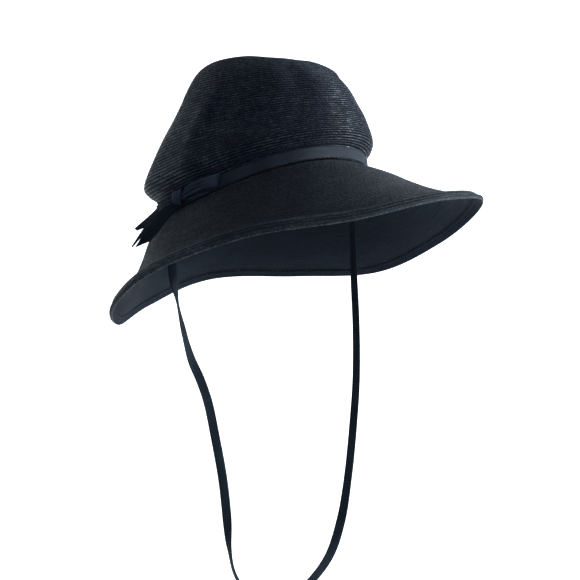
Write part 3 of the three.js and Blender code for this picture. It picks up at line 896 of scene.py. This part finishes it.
def band_sections():
    turns = around(BAND_TURNS)
    across = np.linspace(0, 1, 11)[None, :]
    slow = np.sin(np.radians(3 * turns + 20)) * 0.12 + np.sin(np.radians(11 * turns)) * 0.06
    height = BAND_LOW + (BAND_HIGH - BAND_LOW) * across + slow * (across - 0.2)
    out = 1.15 + 0.42 * across + 0.1 * np.sin(np.radians(7 * turns + 300 * across))
    grid = by_head_line(turns, out, height)
    return two_sided(grid, BAND_THICK, loop=True), across[0] * (BAND_HIGH - BAND_LOW)


sections, across = band_sections()
band_far = round_map(sections[:, 5])[:, None]
band = make_piece("band_ribbon", as_worn(sections), map_round(across)[None, :], band_far,
                  RIBBON, loop=True, nodes=["hat_band"])

# %% [markdown]
# ## Tacking thread
#
# At the wearer's right front the band is tacked to the crown with a few stitches of thread
# that has faded to a rusty red. It is a small thing, but it is the only colour on the hat.

# %% Tacks
RUSTY_THREAD = thread_finish("rusty_thread", (0.11, 0.032, 0.022, 1))
tack_turn = np.linspace(-24, -12.5, 5)
tack_middle = by_head_line(tack_turn, 1.95, BAND_LOW + 0.3)
tack_way = unit(by_head_line(tack_turn + 0.5, 1.95, BAND_LOW + 0.25) - tack_middle)
tack_up = unit(by_head_line(tack_turn, 3, BAND_LOW) - by_head_line(tack_turn, 1, BAND_LOW))
stitches("band_tacks", tack_middle, tack_way, tack_up, 2.6, 0.5, RUSTY_THREAD)

# %% [markdown]
# ## The bow
#
# Behind the wearer's right ear the same ribbon makes a small bow: one loop lies forward along
# the band, one goes back, and a short wrap pinches both. Each is a real strip here, with both
# its faces and its thickness. The strip is gathered into pleats where the wrap holds it and
# opens to its full width at the fold. A row gives the place along the band, the distance out,
# the height, half the width, how far the top leans out, the depth of the pleats, how far the
# strip bellies out and how far its top runs ahead of its foot.

# %% Bow strips
BOW_THICK = 0.55
BOW_WIDTH = 10.8
BOW_PLEATS = 3
FRONT_LOOP = [  # turn, out, height, half width, lean, pleat, arch, skew
    (-101, 2.7, 6.6, 3.0, 0.0, 0.55, 0, 0),
    (-96, 2.9, 6.5, 4.5, 0.1, 0.4, 0, 0),
    (-89, 2.6, 6.3, 5.2, 0.1, 0.15, 0, 0.2),
    (-82, 2.6, 6.4, 5.1, 0.1, 0.1, 0, 0.6),
    (-78.6, 3.0, 6.8, 4.9, 0.0, 0.1, 0.2, 1.2),
    (-77.4, 4.2, 7.2, 4.7, -0.2, 0.15, 0.6, 1.4),
    (-79.6, 5.6, 7.7, 4.8, -0.6, 0.3, 1.4, 1.0),
    (-84.5, 6.8, 8.2, 5.0, -1.0, 0.6, 2.2, 0.5),
    (-90, 7.4, 8.3, 4.9, -1.1, 0.9, 2.4, 0),
    (-95.5, 6.8, 7.8, 4.3, -0.8, 1.0, 1.6, 0),
    (-99.5, 5.4, 7.0, 3.2, -0.3, 0.8, 0.6, 0),
    (-101.5, 4.6, 6.8, 2.8, 0.0, 0.5, 0, 0),
]
REAR_LOOP = [
    (-105.5, 2.7, 6.4, 3.0, 0.0, 0.5, 0, 0),
    (-110, 3.0, 6.0, 4.4, 0.1, 0.4, 0, 0),
    (-117, 2.8, 4.2, 5.0, 0.1, 0.15, 0, -0.4),
    (-124, 2.8, 2.4, 5.0, 0.0, 0.1, 0, -0.8),
    (-127.9, 3.4, 1.0, 4.7, -0.2, 0.1, 0.2, -1.2),
    (-128.8, 4.5, 0.6, 4.5, -0.5, 0.15, 0.4, -1.2),
    (-126.6, 5.8, 0.8, 4.6, -1.0, 0.35, 0.8, -0.8),
    (-121, 7.2, 2.2, 4.8, -1.4, 0.7, 1.4, -0.4),
    (-114.5, 8.0, 4.4, 4.7, -1.2, 0.9, 1.6, 0),
    (-109.5, 7.0, 6.2, 3.9, -0.6, 0.9, 1.0, 0),
    (-105.8, 4.8, 6.6, 2.9, 0.0, 0.5, 0, 0),
]


def loop_strip(rows, steps, phase):
    """The middle of a loop's strip, [along, across, xyz], before the hat is tipped."""
    place = np.linspace(0, len(rows) - 1, steps)
    row = smooth_rows(rows, place).T[:, :, None]
    turn, out, height, half, lean, pleat, arch, skew = row
    across = np.linspace(-1, 1, 25)[None, :]
    far = place[:, None]
    wave = np.cos(math.pi * BOW_PLEATS * across + phase + 0.9 * np.sin(far * 0.9))
    crumple = (0.42 * np.sin(far * 2.3 + across * 2.1 + phase)
               + 0.26 * np.sin(far * 4.1 - across * 3.4))
    belly = arch * (1 - ((across - 0.35) / 1.35) ** 2)
    deeper = out + lean * across + belly + pleat * wave + crumple * smoothstep(half, 2.6, 4.6)
    edge = 0.3 * np.sin(far * 1.7 + phase) + 0.2 * np.sin(far * 3.9)
    return by_head_line(turn + skew * across, deeper, height + half * across + edge)


def strip_piece(name, grid, thickness, finish, node, loop=False, width=BOW_WIDTH):
    """A ribbon from the middle of its thickness, mapped in mm along and across."""
    middle = grid[:, grid.shape[1] // 2]
    if loop:
        far = round_map(middle)[:, None]
    else:
        far = np.concatenate([[0], np.cumsum(np.linalg.norm(np.diff(middle, axis=0), axis=1))])
        far = np.append(far, far[-1])[:, None]
    wide = np.linspace(-width / 2, width / 2, grid.shape[1])
    sections = as_worn(two_sided(grid, thickness, loop))
    piece = make_piece(name, sections, map_round(wide)[None, :], far, finish, loop,
                       [node])
    return piece, far[-1, 0]


def strip_area(grid):
    """The area of a grid of points, in square metres."""
    along, across = np.diff(grid, axis=0)[:, :-1], np.diff(grid, axis=1)[:-1]
    return np.linalg.norm(np.cross(along, across), axis=2).sum() * MM * MM


bow_loops = {
    "bow_loop_front": loop_strip(FRONT_LOOP, 110, 0.4),
    "bow_loop_rear": loop_strip(REAR_LOOP, 100, 2.2),
}
for name, grid in bow_loops.items():
    piece, length = strip_piece(name + "_ribbon", grid, BOW_THICK, BOW_RIBBON, name)
    share = strip_area(grid) / (BOW_WIDTH * MM * length * MM)
    print(name, round(length), "mm of ribbon, area share", round(share, 2))


# %% Bow wrap
def wrap_strip():
    """A short ring of ribbon that pinches the loops, its width lying along the band."""
    angle = around(72) * math.pi / 180
    across = np.linspace(-1, 1, 25)[None, :]
    fold = (0.75 * np.cos(math.pi * 3.1 * across + 1.4 * np.sin(angle))
            + 0.25 * np.sin(2 * angle + across * 3))
    pinch = 1 - 0.2 * (1 - across ** 2)
    out = 5.3 + (3.5 + fold * np.maximum(0.15, np.cos(angle))) * np.cos(angle) * pinch
    height = 7.2 + (6.9 + 0.4 * fold) * np.sin(angle) * pinch
    turn = -103.4 + (3.3 + 0.4 * np.sin(angle)) * across + 1.1 * np.sin(angle + 0.6)
    return by_head_line(turn, out, height)


wrap, length = strip_piece("bow_wrap_ribbon", wrap_strip(), BOW_THICK, BOW_RIBBON, "bow_knot",
                           loop=True)

# %% [markdown]
# ## The cut ends
#
# Three ends come out from under the bow and lie back over the brim. One is broad and spreads
# flat, one is a narrow wedge, and one is a thin sliver that curls down. They were cut on the
# slant with scissors, so each has sharp corners. A row gives the middle of the ribbon and half
# its width as a direction, and the last row lies along the cut.

# %% Cut ends
TAIL_THICK = 0.5
TAILS = { # x, y, z, and half the width as x, y, z, before the hat is tipped
    "bow_tail_1": [
        (-82.6, 43.2, -1.3, 0, -1.3, -2.6), (-74.8, 61.6, -5.3, -0.2, -1.8, -3.1),
        (-70.9, 77.6, -9.1, -0.2, -1.8, -2.8), (-70.5, 90.7, -11.9, 0, -1.5, -1.4),
    ],
    "bow_tail_2": [
        (-83.4, 39.8, -5.3, 0.5, -1.2, -2.2), (-80.7, 60.9, -11.2, 0.3, -1.8, -2.3),
        (-78.2, 76.8, -18.3, 0.4, -1.1, -1.3), (-79.2, 90.8, -27.2, 0.2, -0.3, -0.5),
    ],
    "bow_tail_3": [
        (-86.7, 28.3, -4.6, 0.5, -1.9, -2.7), (-91.9, 37.8, -11.4, 0.6, -3.6, -4),
        (-94.8, 48.3, -20.2, 0.7, -3.8, -3.9), (-96, 62.3, -30.6, 2, -7.8, 1.2),
    ],
}
TAIL_STEPS = 48


def tail_strip(rows):
    place = np.linspace(0, len(rows) - 1, TAIL_STEPS)
    row = smooth_rows(rows, place)
    middle, across = row[:, None, :3], row[:, None, 3:]
    side = np.linspace(-1, 1, 15)[None, :, None]
    ahead_way = unit(np.gradient(middle, axis=0))
    up = unit(np.cross(across, ahead_way))
    curl = 0.5 * (side ** 2 - 0.4) + 0.25 * np.sin(place[:, None, None] * 3.1 + side * 2)
    return middle + across * side + up * curl


for name, rows in TAILS.items():
    grid = tail_strip(rows)
    widest = np.linalg.norm(grid[:-9, -1] - grid[:-9, 0], axis=1).max()
    piece, length = strip_piece(name + "_ribbon", grid, TAIL_THICK, END_RIBBON, name,
                                width=min(widest, BOW_WIDTH))
    print(name, "is", round(widest, 1), "mm wide and", round(length, 1), "mm long")

# %% [markdown]
# ## The studio
#
# Black straw shows its form only by what it reflects. So the light is large and soft. Most of
# it comes from the right, and a little from the left and from above. The backdrop glows in one
# patch, fixed to the wall that the studio camera looks at, and the pale floor sends some light
# up under the brim. The middle of the crown faces that camera, where there is no lamp, and
# stays dark.

# %% Floor and backdrop
FLOOR = -0.5
WALL_RADIUS = 2.4
COVE_RADIUS = 0.8
WALL_TOP = 3.2


def studio_bowl():
    """A round floor that curves up into a wall all round."""
    cove = [(WALL_RADIUS - COVE_RADIUS * (1 - math.sin(a)), COVE_RADIUS * (1 - math.cos(a)))
            for a in np.radians(range(0, 91, 6))]
    profile = [(0.4, 0), (1.0, 0), *cove, (WALL_RADIUS, WALL_TOP)]
    sides = 72
    points = [(0, 0, FLOOR)]
    for far, high in profile:
        for angle in TURN * np.arange(sides) / sides:
            points.append((far * math.cos(angle), far * math.sin(angle), FLOOR + high))
    faces = [(0, 1 + k, 1 + (k + 1) % sides) for k in range(sides)]
    for ring in range(len(profile) - 1):
        low, high = 1 + ring * sides, 1 + (ring + 1) * sides
        for k in range(sides):
            after = (k + 1) % sides
            faces.append((low + k, high + k, high + after, low + after))
    mesh = bpy.data.meshes.new("studio_bowl")
    mesh.from_pydata(points, [], faces)
    mesh.polygons.foreach_set("use_smooth", [True] * len(mesh.polygons))
    return mesh


paper = Finish("pale_paper")
spot = paper.node("ShaderNodeTexCoord", {}, {}, 3)
behind = paper.node("ShaderNodeVectorMath", {"operation": "DOT_PRODUCT"}, {0: spot, 1: ahead}, 1)
beside = paper.node("ShaderNodeVectorMath", {"operation": "DOT_PRODUCT"}, {0: spot, 1: right}, 1)
above = paper.node("ShaderNodeVectorMath", {"operation": "DOT_PRODUCT"}, {0: spot, 1: (0, 0, 1)}, 1)
away = behind + VIEW_DISTANCE
sideways = (beside.math("ABSOLUTE") / away).between(*VIEW_EDGE)
upwards = ((above + VIEW_DROP) / away).between(*VIEW_EDGE)
glow = behind.between(0.55, 0.8) * (1 - sideways) * (1 - upwards)
paper.feed("Base Color", (0.82, 0.82, 0.82, 1))
paper.feed("Roughness", 0.9)
paper.feed("Emission Color", glow.colours((0.05, 0.055, 0.06, 1), (0.98, 0.99, 1, 1)))
paper.feed("Emission Strength", 1)
backdrop_mesh = studio_bowl()
backdrop_mesh.materials.append(paper.material)
backdrop = bpy.data.objects.new("studio_bowl", backdrop_mesh)
bpy.context.scene.collection.objects.link(backdrop)


# %% Lamps
def softbox(name, place, size, power, aim=(0, 0, -0.03), colour=(1, 1, 1)):
    """place is right of, ahead of and above the middle of the hat, as the camera sees it."""
    data = bpy.data.lights.new(name, "AREA")
    data.shape = "RECTANGLE"
    data.size, data.size_y = size
    data.energy = power
    data.color = colour
    lamp = bpy.data.objects.new(name, data)
    bpy.context.scene.collection.objects.link(lamp)
    lamp.location = right * place[0] + ahead * place[1] + Vector((0, 0, place[2]))
    way = Vector(aim) - lamp.location
    lamp.rotation_euler = way.to_track_quat("-Z", "Y").to_euler()


COOL = (0.8, 0.92, 1)
softbox("right_light", (1.4, -0.05, 0.28), (1.0, 1.1), 56, colour=COOL)
softbox("left_light", (-1.3, 0.5, 0.45), (0.8, 1.3), 0.45, colour=COOL)
softbox("top_light", (0.1, 0.1, 1.6), (1.2, 1.2), 3.4, colour=COOL)
world = bpy.data.worlds.new("studio_air")
world.use_nodes = True
world.node_tree.nodes["Background"].inputs["Color"].default_value = (*COOL, 1)
world.node_tree.nodes["Background"].inputs["Strength"].default_value = 0.06
bpy.context.scene.world = world
